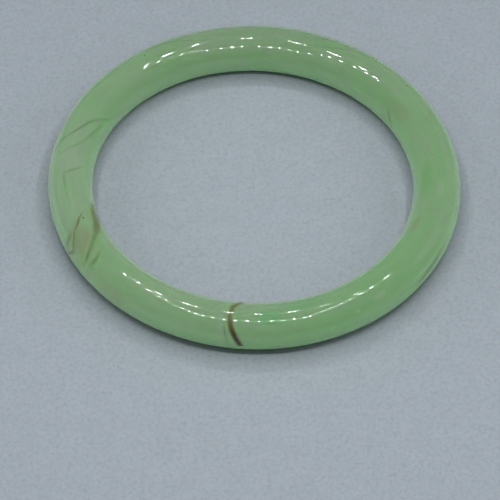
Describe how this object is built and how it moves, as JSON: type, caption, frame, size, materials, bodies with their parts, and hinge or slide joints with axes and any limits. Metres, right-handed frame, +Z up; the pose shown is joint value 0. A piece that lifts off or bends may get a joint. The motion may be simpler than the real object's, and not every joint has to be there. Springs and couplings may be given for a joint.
{
  "type": "bangle bracelet",
  "caption": "Closed rigid bangle ring of polished translucent green stone with brown veins, worn loose round the wrist.",
  "frame": {"origin": "centre of the round outside, on the plane that the bangle lies on", "axes": "+Z up, square to the plane of the ring; +Y away from the front, where the brown vein crosses the ring; +X to the right of someone facing the front"},
  "size_m": [0.073, 0.073, 0.0079],
  "materials": {
    "jade": "high polish, translucent, cloudy with brown veins"
  },
  "bodies": {
    "root": {"bangle_ring": "jade"}
  },
  "joints": []
}
